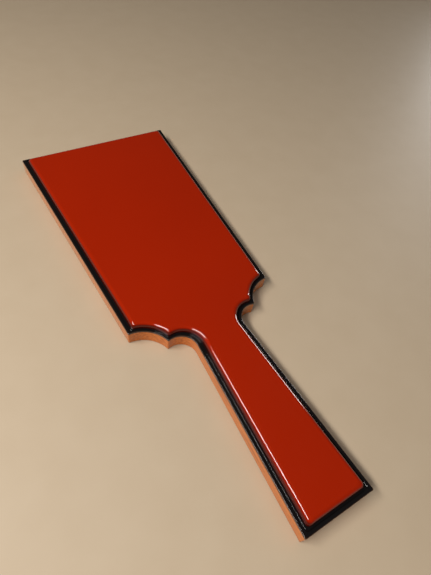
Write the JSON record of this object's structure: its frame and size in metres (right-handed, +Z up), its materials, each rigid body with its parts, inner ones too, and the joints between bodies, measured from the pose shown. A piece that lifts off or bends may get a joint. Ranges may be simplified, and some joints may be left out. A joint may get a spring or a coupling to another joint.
{
  "type": "lacquered paddle board",
  "caption": "Flat battledore-shaped paddle of lacquered wood: raised vermilion panel with a bullnose edge, black border with a fine groove, amber sides, scalloped shoulders and a flared handle.",
  "frame": {"origin": "middle of the underside's bounding box, on the surface that the board lies on", "axes": "+Y along the board from the handle's end to the blade's top edge, +Z up out of the raised panel"},
  "size_m": [0.1124, 0.3, 0.0137],
  "materials": {
    "amber_wall": "glossy clear amber lacquer",
    "black_ledge": "glossy black lacquer",
    "vermilion_face": "glossy vermilion lacquer",
    "bamboo": "bare bamboo"
  },
  "bodies": {
    "root": {"back_board": "amber_wall", "black_border": "black_ledge", "face_panel": "vermilion_face", "peg_blade_top_left": "bamboo", "peg_blade_top_right": "bamboo", "peg_blade_low_left": "bamboo", "peg_blade_low_right": "bamboo", "peg_handle_neck": "bamboo", "peg_handle_end": "bamboo"}
  },
  "joints": []
}
